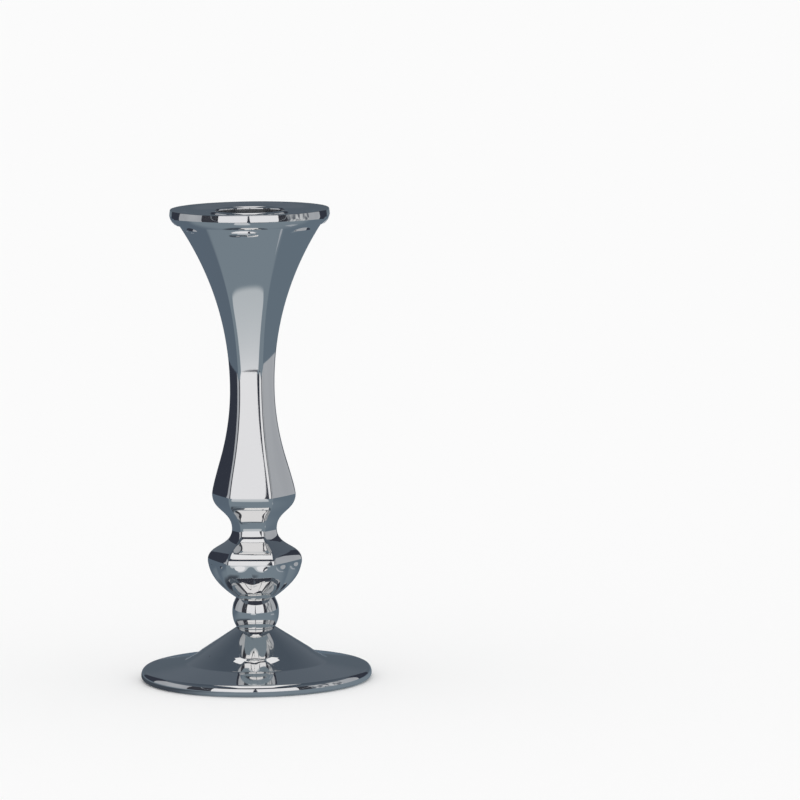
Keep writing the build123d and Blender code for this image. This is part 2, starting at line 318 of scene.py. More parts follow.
def column():
    """Six-sided flared shell, inside and out."""
    outer = column_outline()
    ring_low = MOUTH_Z - MOUTH_RING_H
    rings = [level(section(r, edge_rounding(z), side_swell(z)), z) for r, z in outer if z < ring_low]
    below, last = section(*at_height(outer, ring_low)), section(*at_height(outer, MOUTH_Z))
    for step in range(RING_STEPS + 1):
        share = step / RING_STEPS
        lip_r = MOUTH_RING_R - RING_TOP_ROLL * share ** 3 - RING_FOOT_ROLL * (1 - share) ** 6
        flats = [((1 - share) * np.array(a) + share * np.array(b)) for a, b in zip(below, last)]
        z = ring_low + share * MOUTH_RING_H
        rings.append([(*(p * max(1.0, lip_r / np.hypot(*p))), z) for p in flats])
    for r, z in outer[::-4]:
        rings.append(level(section(r - SHELL, edge_rounding(z) / 2, side_swell(z)), z))
    return add_mesh("column_shell", *skin(rings, closed=True))


def knop_upper():
    """Six-sided upper half of the knop, closed at the neck but for the rod's hole."""
    outer = s_curve((KNOP_R, KNOP_Z), (NECK_R, NECK_Z), KNOP_PULLS, 80)
    rings = [level(section(r, EDGE_ROUND, SWELL), z) for r, z in outer]
    headings = [atan2(y, x) for x, y in section(NECK_R, EDGE_ROUND, SWELL)]
    hole = [(ROD_HOLE_R * cos(a), ROD_HOLE_R * sin(a)) for a in headings]
    under_z = NECK_Z - SHEET
    rings.append(level(hole, NECK_Z))
    rings.append(level(hole, under_z))
    for r, z in outer[::-5]:
        rings.append(level(section(r - SHELL, EDGE_ROUND / 2, SWELL), min(z, under_z)))
    return add_mesh("knop_upper_shell", *skin(rings, closed=True))


def polar_radius(ring, headings):
    """The radius of a level ring at given headings."""
    angles = np.unwrap([atan2(y, x) for x, y in ring])
    radii = [sqrt(x * x + y * y) for x, y in ring]
    return np.interp(headings, angles, radii, period=2 * pi)


def lobed_ring(seen_r, z, share):
    """One level ring of the lower knop. Share runs from 0 at the equator to 1 at the base."""
    headings = np.linspace(0, 2 * pi, LOBES * LOBE_COLUMNS, endpoint=False)
    six_sided = polar_radius(section(seen_r, EDGE_ROUND, SWELL), headings)
    roundness = smooth_step(ROUND_FROM, 1.0, share)
    fade = 1 - LOBE_FADED * smooth_step(*LOBE_FADE, share)
    depth = LOBE_DEPTH * smooth_step(0.0, LOBES_FULL, share) * fade
    lobe = np.abs(np.sin(headings * LOBES / 2)) ** LOBE_SHARPNESS - LOBE_VALLEY
    radii = six_sided * (1 - roundness) + seen_r * ROUND_SHARE * roundness + depth * lobe
    return [(r * cos(a), r * sin(a), z) for r, a in zip(radii, headings)]


def knop_lower():
    """Lobed lower half of the knop, with a floor around the rod's hole."""
    wide, base = KNOP_R, KNOP_BASE_R
    corner_z = KNOP_BASE_Z + (wide - base) / KNOP_SPREAD
    outer = bezier([(base, KNOP_BASE_Z), (wide, corner_z), (wide, KNOP_Z)], 70)
    rings = [lobed_ring(r, z, (KNOP_Z - z) / (KNOP_Z - KNOP_BASE_Z)) for r, z in outer]
    inner_low = KNOP_BASE_Z + SHEET
    count = len(rings[0])
    angles = np.linspace(0, 2 * pi, count, endpoint=False)

    def round_ring(radius, z):
        return [(radius * cos(a), radius * sin(a), z) for a in angles]

    for r, z in outer[::-5]:
        rings.append(round_ring(r * cos(STEP / 2) - 1.6 * SHELL, max(z, inner_low)))
    rings.append(round_ring(ROD_HOLE_R, inner_low))
    rings.append(round_ring(ROD_HOLE_R, KNOP_BASE_Z))
    return add_mesh("knop_lower_shell", *skin(rings, closed=True))


# --- Turned pieces ----------------------------------------------------------------------------------
def drip_pan():
    """Dished disc with a full rounded edge, open underneath inside its return."""
    rise_r = (PAN_SEAT_R + PAN_CREST_R) / 2
    under_z = CUP_SEAT_Z - SHELL
    inner_top = PAN_TOP - SHELL
    inner_low = MOUTH_Z + SHELL
    crest = (PAN_CREST_R, PAN_TOP)
    outline = join(
        line((CUP_R, under_z), (CUP_R, CUP_SEAT_Z)),
        line((CUP_R, CUP_SEAT_Z), (PAN_SEAT_R, CUP_SEAT_Z)),
        bezier([(PAN_SEAT_R, CUP_SEAT_Z), (rise_r, CUP_SEAT_Z), (rise_r, PAN_TOP), crest], 24),
        bezier([crest, (PAN_TURN_R, PAN_TOP), PAN_SHOULDER], 12),
        bezier([PAN_SHOULDER, *PAN_EDGE_PULLS, (PAN_UNDER_R, MOUTH_Z)], 64),
        line((PAN_UNDER_R, MOUTH_Z), (RETURN_R, MOUTH_Z), 3),
        line((RETURN_R, MOUTH_Z), (RETURN_R, inner_low)),
        line((RETURN_R, inner_low), (PAN_INNER_R, inner_low)),
        line((PAN_INNER_R, inner_low), (PAN_INNER_R, inner_top)),
        bezier([(PAN_INNER_R, inner_top), (rise_r, inner_top),
                (rise_r, under_z), (PAN_SEAT_R, under_z)], 8),
    )
    return turned("drip_pan_disc", outline)


def candle_cup():
    """Candle tube with a closed floor and its lip rolled out into a bead."""
    bead_half = (BEAD_R - CANDLE_R) / 2
    bead_h = CUP_HIGH.z - CUP_SEAT_Z
    turn = CUP_FLOOR_ROUND
    outline = join(
        line((0, CUP_LOW.z), (CUP_R - turn, CUP_LOW.z), 3),
        arc((CUP_R - turn, CUP_LOW.z + turn), turn, turn, -90, 0, 5),
        line((CUP_R, CUP_LOW.z + turn), (CUP_R, CUP_SEAT_Z), 3),
        line((CUP_R, CUP_SEAT_Z), (BEAD_R, CUP_SEAT_Z)),
        arc((CANDLE_R + bead_half, CUP_SEAT_Z), bead_half, bead_h, 0, 180, 28),
        line((CANDLE_R, CUP_SEAT_Z), (CANDLE_R, CUP_FLOOR_Z + turn), 6),
        arc((CANDLE_R - turn, CUP_FLOOR_Z + turn), turn, turn, 0, -90, 5),
        line((CANDLE_R - turn, CUP_FLOOR_Z), (0, CUP_FLOOR_Z), 5),
    )
    return turned_solid("candle_cup_tube", outline)


def collar():
    """Turned ring with a convex side between knop and foot."""
    low = (COLLAR_FOOT_R, COLLAR_FOOT_Z)
    middle = (COLLAR_R, (COLLAR_FOOT_Z + KNOP_BASE_Z) / 2)
    high = (COLLAR_TOP_R, KNOP_BASE_Z)
    outline = join(
        line((ROD_HOLE_R, COLLAR_FOOT_Z), low),
        three_point_arc(low, middle, high, 60),
        line(high, (ROD_HOLE_R, KNOP_BASE_Z)),
    )
    return turned("collar_ring", outline)


def dome(drop, steps):
    """The foot's cone and brim from the collar out, lowered by a drop."""
    brim_end = (FOOT_R - FOOT_EDGE_R, FOOT_EDGE_TOP - drop)
    top = (COLLAR_FOOT_R, COLLAR_FOOT_Z - drop)
    cone = (CONE_FOOT[0], CONE_FOOT[1] - drop)
    corner = (CONE_CORNER[0], CONE_CORNER[1] - drop)
    brim = (BRIM_START[0], BRIM_START[1] - drop)
    return join(line(top, cone, steps), bezier([cone, corner, brim], steps), line(brim, brim_end, steps))


def foot():
    """Spun foot shell, its edge rounded and its lip turned in under the closing plate."""
    edge_r = FOOT_R - FOOT_EDGE_R
    edge_mid = FOOT_LOW.z + FOOT_EDGE_R
    plate_z = PAD_HIGH.z
    inner_top_z = COLLAR_FOOT_Z - SHELL
    outline = join(
        line((ROD_HOLE_R, COLLAR_FOOT_Z), (COLLAR_FOOT_R, COLLAR_FOOT_Z)),
        dome(0, 24),
        arc((edge_r, edge_mid), FOOT_EDGE_R, FOOT_EDGE_TOP - edge_mid, 90, 0, 24),
        arc((edge_r, edge_mid), FOOT_EDGE_R, FOOT_EDGE_R, 0, -90, 16),
        line((edge_r, FOOT_LOW.z), (LIP_R, FOOT_LOW.z), 2),
        line((LIP_R, FOOT_LOW.z), (LIP_R, plate_z)),
        line((LIP_R, plate_z), (edge_r, plate_z)),
        line((edge_r, plate_z), (edge_r, FOOT_EDGE_TOP - SHELL)),
        dome(SHELL, 6)[::-1],
        line((COLLAR_FOOT_R, inner_top_z), (ROD_HOLE_R, inner_top_z)),
    )
    return turned("foot_shell", outline)


def socket_sleeve():
    """Hexagonal plate in the stem's mouth with the guide tube for the cup."""
    bottom, top = SLEEVE_LOW.z, SLEEVE_HIGH.z
    guide_r = CUP_R + RUN_GAP
    wall_r = guide_r + SHEET
    rim = section(SLEEVE_HIGH.x, SHEET, SWELL)
    headings = [atan2(y, x) for x, y in rim]

    def round_ring(radius, z):
        return [(radius * cos(a), radius * sin(a), z) for a in headings]

    rings = [
        level(rim, top),
        level(rim, top - SHEET),
        round_ring(wall_r, top - SHEET),
        round_ring(wall_r, bottom),
        round_ring(guide_r, bottom),
        round_ring(guide_r, top),
    ]
    return add_mesh("socket_sleeve_plate", *skin(rings, closed=True))


def felt_pad():
    """Baize disc with a softly crushed, slightly uneven edge."""
    radius, height = PAD_HIGH.x, PAD_HIGH.z - PAD_LOW.z
    around, crush, middle_r = 180, 0.35 * height, 0.15 * radius
    shrink, raggedness = 0.1 * MM, 0.05 * MM
    rng = np.random.default_rng(11)
    ragged = rng.normal(0, raggedness, around)
    ragged = (ragged + np.roll(ragged, 1) + np.roll(ragged, -1)) / 3
    outline = join(
        line((middle_r, PAD_LOW.z), (radius - crush, PAD_LOW.z), 12),
        arc((radius - crush, PAD_LOW.z + crush), crush, crush, -90, 0, 5),
        arc((radius - crush, PAD_HIGH.z - crush), crush, crush, 0, 90, 5),
        line((radius - crush, PAD_HIGH.z), (middle_r, PAD_HIGH.z), 6),
    )
    angles = np.linspace(0, 2 * pi, around, endpoint=False)
    rings = []
    for r, z in outline:
        share = (r / radius) ** 8
        reaches = [r + share * (edge - shrink) for edge in ragged]
        rings.append([(reach * cos(a), reach * sin(a), z) for reach, a in zip(reaches, angles)])
    points, faces = skin(rings, closed=False)
    low, high = len(points), len(points) + 1
    points += [(0, 0, PAD_LOW.z), (0, 0, PAD_HIGH.z)]
    last = (len(rings) - 1) * around
    for column_number in range(around):
        after = (column_number + 1) % around
        faces.append((low, after, column_number))
        faces.append((high, last + column_number, last + after))
    return add_mesh("felt_pad_disc", points, faces)


# --- Build --------------------------------------------------------------------------------------------
def stands_for(piece, node, body):
    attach(piece, body)
    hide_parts(node)
    return piece


SILVER_PIECES = [
    stands_for(drip_pan(), "drip_pan", "nozzle"),
    stands_for(candle_cup(), "candle_cup", "nozzle"),
    stands_for(column(), "column", "stick"),
    stands_for(socket_sleeve(), "socket_sleeve", "stick"),
    stands_for(knop_upper(), "knop_upper", "stick"),
    stands_for(knop_lower(), "knop_lower", "stick"),
    stands_for(collar(), "collar", "stick"),
    stands_for(foot(), "foot", "stick"),
]
FELT = stands_for(felt_pad(), "felt_pad", "stick")
HIDDEN_HARDWARE = {
    "rod_boss": "brass",
    "clamp_nut": "brass",
    "tie_rod": "steel",
    "clamp_washer": "steel",
    "closing_plate": "steel",
    "foot_weight": "filler",
}


# --- The studio, laid out in the camera's frame --------------------------------------------------------
TURN = radians(4.0)
AROUND_Z = Matrix.Rotation(TURN, 4, "Z")
PITCH = radians(-7.073)
ROLL = radians(-0.70)
CAMERA_PLACE = Vector((0.04649, -1.8062, 0.31224))
SENSOR_WIDTH, FOCAL_LENGTH = 36.0, 260.0   # in mm, as Blender's camera takes them
SILVER = (0.93, 0.92, 0.90)


def camera():
    lens = bpy.data.cameras.new("photo_camera")
    lens.sensor_width = SENSOR_WIDTH
    lens.lens = FOCAL_LENGTH
    lens.clip_end = 50.0
    holder = bpy.data.objects.new("photo_camera", lens)
    bpy.context.scene.collection.objects.link(holder)
    bpy.context.scene.camera = holder
    tilt = Matrix.Rotation(radians(90) + PITCH, 4, "X") @ Matrix.Rotation(ROLL, 4, "Z")
    holder.matrix_world = AROUND_Z @ Matrix.Translation(CAMERA_PLACE) @ tilt


def linear(value):
    """A display value from 0 to 255 as linear light."""
    share = value / 255
    if share <= 0.04045:
        return share / 12.92
    return ((share + 0.055) / 1.055) ** 2.4


def mirrored(red, green, blue):
    """The light that reads as this display colour after one reflection in the silver."""
    return tuple(linear(value) / tint for value, tint in zip((red, green, blue), SILVER))


SLATE = mirrored(82, 91, 100)
SLATE_MIDDLE = mirrored(89, 97, 106)
SLATE_HIGH = mirrored(70, 79, 89)
TABLE_SLATE = mirrored(113, 125, 134)
NAVY = mirrored(48, 52, 62)
WHITE = mirrored(221, 221, 223)
GREY = mirrored(166, 169, 173)


def emitter(name, colour):
    """A plain light surface. Returns its material, nodes and links, and the node that emits."""
    material = bpy.data.materials.new(name)
    material.use_nodes = True
    nodes, links = material.node_tree.nodes, material.node_tree.links
    nodes.clear()
    output = nodes.new("ShaderNodeOutputMaterial")
    emission = nodes.new("ShaderNodeEmission")
    emission.inputs["Color"].default_value = (*colour, 1)
    links.new(emission.outputs["Emission"], output.inputs["Surface"])
    return material, nodes, links, emission


def studio_card(name, points, faces, material):
    """A card that only mirrors see."""
    mesh = bpy.data.meshes.new(name)
    mesh.from_pydata(points, [], faces)
    mesh.materials.append(material)
    piece = bpy.data.objects.new(name, mesh)
    bpy.context.scene.collection.objects.link(piece)
    piece.matrix_world = AROUND_Z
    piece.visible_camera = False
    piece.visible_diffuse = False
    piece.visible_shadow = False
    return piece


def curved_wall(name, low_span, high_span, low, high, distance, material, steps=24):
    """An upright wall around the object.

    Spans are headings in degrees, 0 at the camera and + to its right, one for each edge.
    """
    points = []
    for step in range(steps + 1):
        for (start, end), z in ((low_span, low), (high_span, high)):
            heading = radians(start + (end - start) * step / steps)
            points.append((distance * sin(heading), -distance * cos(heading), z))
    faces = [(2 * i, 2 * i + 2, 2 * i + 3, 2 * i + 1) for i in range(steps)]
    return studio_card(name, points, faces, material)


WALL_DISTANCE = 0.95
WALL_LOW, WALL_HIGH = -0.11, 0.56
SIDE_WALL_LOW, SIDE_WALL_HIGH = -0.26, 0.56
DARK_WALL_HIGH = 0.67
SHEETS_LEFT, SHEETS_RIGHT = -44, 43        # headings where the two white sheets end
FOLDS_RIGHT, SIDE_LEFT, SIDE_RIGHT = 57, -71, 95
GREY_LEFT = -124                            # the grey sheets end here
LOW_GREY_RIGHT, HIGH_GREY_RIGHT = 124, 119
DARK_LEFT_SPANS = ((-152, GREY_LEFT), (-143, -112))                     # along the lower and upper edge
DARK_RIGHT_SPANS = ((LOW_GREY_RIGHT, 150), (HIGH_GREY_RIGHT, 143))
LOW_SLIT, HIGH_SLIT, UNDER_SLIT = 2.6, 0.7, 2.0     # half the gap between the sheets, in degrees
BACK_SLIT = 3.6                             # half the width of the cloth behind that gap
ABOVE_DISTANCE, BACK_DISTANCE = 1.02 * WALL_DISTANCE, 1.05 * WALL_DISTANCE
OVERHEAD_Z, OVERHEAD_HALF = 1.0, 0.34
OVERHEAD_FRONT, OVERHEAD_BACK = -0.93, 0.30
GLINT_NEAR_X, GLINT_FAR_X = 0.092, 0.132
GLINT_FRONT, GLINT_BACK, GLINT_Z = -0.02, 0.022, 1.0 * MM
HOOP_ACROSS, HOOP_UP, HOOP_MIDDLE_Z = 0.72, 0.60, 0.585
HOOP_THICKNESS = 0.004
TABLE_FRONT, TABLE_FRONT_HALF = -0.43, 0.33
TABLE_RIGHT, TABLE_LEFT = 0.475, 0.60      # its rounded sides, as reach from the object
TABLE_BACK, TABLE_BACK_HALF = 1.6, 1.3
POOL_NEAR, POOL_FAR = 0.138, 0.43          # reach of the pool of light towards the camera
POOL_DRIFT = -0.19                         # it runs this far sideways per distance
POOL_SPREAD, POOL_HALF = 0.12, 0.019       # half its width is POOL_SPREAD * distance + POOL_HALF
POOL_CORNER = -0.022                       # its near corners are rounded back this far
BACK_POOLS = ((0.24, 0.60), (0.75, 1.50))   # depth behind the object of the two rear pools of light
BACK_SPREAD = 0.28                         # half their width per depth
BACK_CLEAR = (0.042, 0.050)                # they fade in between these distances from the middle,
BACK_CLEAR_SPREAD = -0.045                 # which move out by this much per depth
FOOT_SHADE = (0.062, 0.042)                # reach where the painted shade beside the foot starts and is full
FOOT_SHADE_X = (-0.010, -0.030)            # it lies to the left


def streaked(name, colour, dark, scale, amount):
    """A light surface with soft upright streaks."""
    material, nodes, links, emission = emitter(name, colour)
    where = nodes.new("ShaderNodeTexCoord")
    stretch = nodes.new("ShaderNodeMapping")
    stretch.inputs["Scale"].default_value = scale
    noise = nodes.new("ShaderNodeTexNoise")
    noise.inputs["Scale"].default_value = 1.0
    noise.inputs["Detail"].default_value = 3.0
    contrast = nodes.new("ShaderNodeMapRange")
    contrast.inputs["From Min"].default_value = 0.5 - amount
    contrast.inputs["From Max"].default_value = 0.5 + amount
    blend = nodes.new("ShaderNodeMix")
    blend.data_type = "RGBA"
    blend.inputs["A"].default_value = (*dark, 1)
    blend.inputs["B"].default_value = (*colour, 1)
    links.new(where.outputs["Object"], stretch.inputs["Vector"])
    links.new(stretch.outputs["Vector"], noise.inputs["Vector"])
    links.new(noise.outputs["Fac"], contrast.inputs["Value"])
    links.new(contrast.outputs["Result"], blend.inputs["Factor"])
    links.new(blend.outputs["Result"], emission.inputs["Color"])
    return material


def walls():
    """Two white sheets with the slit the camera looks through, grey and dark ones to the sides."""
    white = emitter("white_sheet", WHITE)[0]
    grey = streaked("grey_sheet", GREY, mirrored(150, 153, 158), (3, 3, 1), 0.2)
    folds = streaked("folded_sheet", mirrored(186, 188, 190), mirrored(92, 97, 104), (11, 11, 3), 0.1)
    navy = emitter("navy_sheet", NAVY)[0]
    behind_table = emitter("behind_table", mirrored(50, 53, 62))[0]
    gap = streaked("gap_cloth", mirrored(66, 68, 74), mirrored(38, 39, 46), (25, 25, 60), 0.15)
    under = (SIDE_WALL_LOW, WALL_LOW, WALL_DISTANCE, behind_table)
    bright = (WALL_LOW, WALL_HIGH, WALL_DISTANCE, white)
    between = (WALL_LOW, WALL_HIGH, WALL_DISTANCE, gap)
    deep = (SIDE_WALL_LOW, SIDE_WALL_HIGH, WALL_DISTANCE)
    dark = (SIDE_WALL_LOW, DARK_WALL_HIGH, WALL_DISTANCE, navy)
    above = (WALL_HIGH, OVERHEAD_Z, ABOVE_DISTANCE, behind_table)
    behind = (WALL_LOW, WALL_HIGH, BACK_DISTANCE, behind_table)

    def upright(name, start, end, rest):
        curved_wall(name, (start, end), (start, end), *rest)

    upright("under_left", SHEETS_LEFT, -UNDER_SLIT, under)
    upright("under_right", UNDER_SLIT, SHEETS_RIGHT, under)
    curved_wall("sheet_left", (SHEETS_LEFT, -LOW_SLIT), (SHEETS_LEFT, -HIGH_SLIT), *bright)
    curved_wall("sheet_right", (LOW_SLIT, SHEETS_RIGHT), (HIGH_SLIT, SHEETS_RIGHT), *bright)
    upright("side_left", GREY_LEFT, SIDE_LEFT, (*deep, grey))
    upright("side_folds", FOLDS_RIGHT, SIDE_RIGHT, (*deep, folds))
    curved_wall("side_right", (SIDE_RIGHT, LOW_GREY_RIGHT), (SIDE_RIGHT, HIGH_GREY_RIGHT), *deep, grey)
    upright("gap_left", SIDE_LEFT, SHEETS_LEFT, between)
    upright("gap_right", SHEETS_RIGHT, FOLDS_RIGHT, between)
    curved_wall("dark_left", *DARK_LEFT_SPANS, *dark)
    curved_wall("dark_right", *DARK_RIGHT_SPANS, *dark)
    upright("above_sheets", SHEETS_LEFT, SHEETS_RIGHT, above)
    upright("gap_back", -BACK_SLIT, BACK_SLIT, behind)


def overhead():
    """The large soft light above the front of the object."""
    white = emitter("overhead_sheet", mirrored(226, 226, 227))[0]
    across = OVERHEAD_HALF
    points = [(x, y, OVERHEAD_Z) for x, y in ((-across, OVERHEAD_FRONT), (across, OVERHEAD_FRONT),
                                              (across, OVERHEAD_BACK), (-across, OVERHEAD_BACK))]
    return studio_card("overhead", points, [(0, 1, 2, 3)], white)


def side_glint():
    """A small light patch beside the foot that draws the bright line on one edge of the flare."""
    pale = emitter("side_glint", mirrored(150, 156, 163))[0]
    points = [(x, y, GLINT_Z) for x, y in ((GLINT_NEAR_X, GLINT_FRONT), (GLINT_FAR_X, GLINT_FRONT),
                                           (GLINT_FAR_X, GLINT_BACK), (GLINT_NEAR_X, GLINT_BACK))]
    return studio_card("side_glint", points, [(0, 1, 2, 3)], pale)


def hoop():
    """The pale frame of the tent's opening, an oval standing at the front edge of the table."""
    pale = emitter("hoop_cloth", mirrored(160, 166, 172))[0]
    steps, sides = 96, 8
    rings = []
    for step in range(steps):
        turn = 2 * pi * step / steps
        ring = []
        for side in range(sides):
            a = 2 * pi * side / sides
            out = 1 + HOOP_THICKNESS * cos(a) / HOOP_ACROSS
            ring.append((out * HOOP_ACROSS * sin(turn), TABLE_FRONT + HOOP_THICKNESS * sin(a),
                         HOOP_MIDDLE_Z - out * HOOP_UP * cos(turn)))
        rings.append(ring)
    return studio_card("hoop", *skin(rings, closed=True), pale)


def math(nodes, links, operation, *values):
    """One maths node. A value may be a number or another node's output."""
    node = nodes.new("ShaderNodeMath")
    node.operation = operation
    for slot, value in enumerate(values):
        if isinstance(value, (int, float)):
            node.inputs[slot].default_value = value
        else:
            links.new(value, node.inputs[slot])
    return node.outputs[0]


def ramp_between(nodes, links, value, low, high, smooth=True):
    """0 below low, 1 above high."""
    node = nodes.new("ShaderNodeMapRange")
    node.interpolation_type = "SMOOTHSTEP" if smooth else "LINEAR"
    node.inputs["From Min"].default_value = low
    node.inputs["From Max"].default_value = high
    links.new(value, node.inputs["Value"])
    return node.outputs["Result"]


def mix_colour(nodes, links, share, first, second):
    node = nodes.new("ShaderNodeMix")
    node.data_type = "RGBA"
    links.new(share, node.inputs["Factor"])
    for slot, colour in (("A", first), ("B", second)):
        if isinstance(colour, tuple):
            node.inputs[slot].default_value = (*colour, 1)
        else:
            links.new(colour, node.inputs[slot])
    return node.outputs["Result"]


def mirror_table():
    """What the silver sees of the table: slate, pools of light before and behind, painted shade by the
    foot.
    """
    material, nodes, links, emission = emitter("mirror_table", TABLE_SLATE)

    def maths(operation, *values):
        return math(nodes, links, operation, *values)

    def ramp(value, low, high, smooth=True):
        return ramp_between(nodes, links, value, low, high, smooth)

    def mix(share, first, second):
        return mix_colour(nodes, links, share, first, second)

    where = nodes.new("ShaderNodeTexCoord").outputs["Object"]
    split = nodes.new("ShaderNodeSeparateXYZ")
    links.new(where, split.inputs["Vector"])
    x, y = split.outputs["X"], split.outputs["Y"]

    ahead = maths("MULTIPLY", y, -1.0)
    aside = maths("SUBTRACT", x, maths("MULTIPLY", ahead, POOL_DRIFT))
    half = maths("MULTIPLY_ADD", ahead, POOL_SPREAD, POOL_HALF)
    off = maths("ABSOLUTE", maths("DIVIDE", aside, half))
    near = maths("MULTIPLY_ADD", maths("POWER", off, 6.0), POOL_CORNER, ahead)
    starts = ramp(near, POOL_NEAR - 0.004, POOL_NEAR + 0.008)
    pool = maths("MULTIPLY", starts, ramp(off, 1.06, 0.98))
    along = ramp(ahead, POOL_NEAR, POOL_FAR, smooth=False)
    light = mix(along, mirrored(172, 178, 182), mirrored(205, 207, 210))

    beside = mix(ramp(x, -0.1, 0.1), mirrored(86, 98, 110), mirrored(95, 108, 119))
    slate = mix(ramp(ahead, -0.08, 0.03), beside, TABLE_SLATE)
    reach = nodes.new("ShaderNodeVectorMath")
    reach.operation = "LENGTH"
    links.new(where, reach.inputs[0])
    # painted shade on the table to the left of the foot, seen only in the silver
    painted_foot_shade = maths("MULTIPLY", ramp(reach.outputs["Value"], *FOOT_SHADE), ramp(x, *FOOT_SHADE_X))
    slate = mix(painted_foot_shade, slate, mirrored(62, 68, 76))

    colour = mix(pool, slate, light)
    far_aside = maths("ABSOLUTE", x)
    clear = ramp(maths("MULTIPLY_ADD", y, BACK_CLEAR_SPREAD, far_aside), *BACK_CLEAR)
    edge = ramp(maths("DIVIDE", far_aside, maths("MULTIPLY", y, BACK_SPREAD)), 1.0, 0.93)
    sideways = maths("MULTIPLY", clear, edge)
    for start, end in BACK_POOLS:
        lengthways = maths("MULTIPLY", ramp(y, start, start + 0.03), ramp(y, end + 0.03, end))
        share = maths("MULTIPLY", lengthways, sideways)
        colour = mix(share, colour, mirrored(212, 213, 216))
    links.new(colour, emission.inputs["Color"])

    headings = [radians(degrees) for degrees in range(70, 141, 5)]
    right = [(TABLE_RIGHT * sin(a), -TABLE_RIGHT * cos(a), 0) for a in headings]
    left = [(-TABLE_LEFT * sin(a), -TABLE_LEFT * cos(a), 0) for a in reversed(headings)]
    front = [(-TABLE_FRONT_HALF, TABLE_FRONT, 0), (TABLE_FRONT_HALF, TABLE_FRONT, 0)]
    back = [(TABLE_BACK_HALF, TABLE_BACK, 0), (-TABLE_BACK_HALF, TABLE_BACK, 0)]
    points = front + right + back + left
    return studio_card("mirror_table", points, [tuple(range(len(points)))], material)


def floor():
    """The pale floor the camera sees."""
    mesh = bpy.data.meshes.new("floor")
    reach = 8.0
    corners = [(-reach, -reach, 0), (reach, -reach, 0), (reach, reach, 0), (-reach, reach, 0)]
    mesh.from_pydata(corners, [], [(0, 1, 2, 3)])
    material = bpy.data.materials.new("floor_paper")
    material.use_nodes = True
    shader = material.node_tree.nodes["Principled BSDF"]
    shader.inputs["Base Color"].default_value = (0.965, 0.965, 0.965, 1)
    shader.inputs["Roughness"].default_value = 1.0
    shader.inputs["Specular IOR Level"].default_value = 0.0
    mesh.materials.append(material)
    piece = bpy.data.objects.new("floor", mesh)
    bpy.context.scene.collection.objects.link(piece)
    piece.visible_glossy = False
    return piece


def studio_world():
    """White for the camera and for matte surfaces, slate that darkens overhead for mirrors."""
    world = bpy.data.worlds.new("studio")
    bpy.context.scene.world = world
    world.use_nodes = True
    nodes, links = world.node_tree.nodes, world.node_tree.links
    background = nodes["Background"]
    split = nodes.new("ShaderNodeSeparateXYZ")
    links.new(nodes.new("ShaderNodeTexCoord").outputs["Generated"], split.inputs["Vector"])
    up = split.outputs["Z"]
    low_edge = ramp_between(nodes, links, up, -0.10, 0.05)
    middle = ramp_between(nodes, links, up, 0.2, 0.32)
    high = ramp_between(nodes, links, up, 0.36, 0.8, smooth=False)
    ceiling = mix_colour(nodes, links, middle, SLATE, SLATE_MIDDLE)
    ceiling = mix_colour(nodes, links, high, ceiling, SLATE_HIGH)
    seen = mix_colour(nodes, links, low_edge, TABLE_SLATE, ceiling)
    path = nodes.new("ShaderNodeLightPath")
    glossy = path.outputs["Is Glossy Ray"]
    colour = mix_colour(nodes, links, glossy, (1.0, 1.0, 1.0), seen)
    links.new(colour, background.inputs["Color"])


camera()
walls()
overhead()
hoop()
side_glint()
mirror_table()
floor()
studio_world()


# --- Finishes --------------------------------------------------------------------------------------------
class Finish:
    """A node material with a small vocabulary for building finishes."""

    def __init__(self, name):
        self.material = bpy.data.materials.new(name)
        self.material.use_nodes = True
        self.nodes = self.material.node_tree.nodes
        self.links = self.material.node_tree.links
        self.shader = self.nodes["Principled BSDF"]
        self.where = self.nodes.new("ShaderNodeTexCoord").outputs["Object"]

    def put(self, socket, value):
        target = self.shader.inputs[socket]
        if isinstance(value, (int, float)):
            target.default_value = value
        elif isinstance(value, tuple):
            target.default_value = (*value, 1)
        else:
            self.links.new(value, target)

    def noise(self, scale, detail=2.0, stretch=(1, 1, 1), where=None):
        mapping = self.nodes.new("ShaderNodeMapping")
        mapping.inputs["Scale"].default_value = stretch
        self.links.new(where or self.where, mapping.inputs["Vector"])
        noise = self.nodes.new("ShaderNodeTexNoise")
        noise.inputs["Scale"].default_value = scale
        noise.inputs["Detail"].default_value = detail
        self.links.new(mapping.outputs["Vector"], noise.inputs["Vector"])
        return noise.outputs["Fac"]

    def range(self, value, low, high, to_low=0.0, to_high=1.0):
        node = self.nodes.new("ShaderNodeMapRange")
        node.inputs["From Min"].default_value = low
        node.inputs["From Max"].default_value = high
        node.inputs["To Min"].default_value = to_low
        node.inputs["To Max"].default_value = to_high
        self.links.new(value, node.inputs["Value"])
        return node.outputs["Result"]

    def maths(self, operation, *values):
        return math(self.nodes, self.links, operation, *values)

    def mix(self, share, first, second):
        return mix_colour(self.nodes, self.links, share, first, second)

    def bump(self, height, distance, strength=1.0):
        node = self.nodes.new("ShaderNodeBump")
        node.inputs["Strength"].default_value = strength
        node.inputs["Distance"].default_value = distance
        self.links.new(height, node.inputs["Height"])
        self.links.new(node.outputs["Normal"], self.shader.inputs["Normal"])

    def crevice(self, distance):
        """1 in the open, towards 0 where surfaces meet."""
        node = self.nodes.new("ShaderNodeAmbientOcclusion")
        node.samples = 4
        node.inputs["Distance"].default_value = distance
        return node.outputs["AO"]


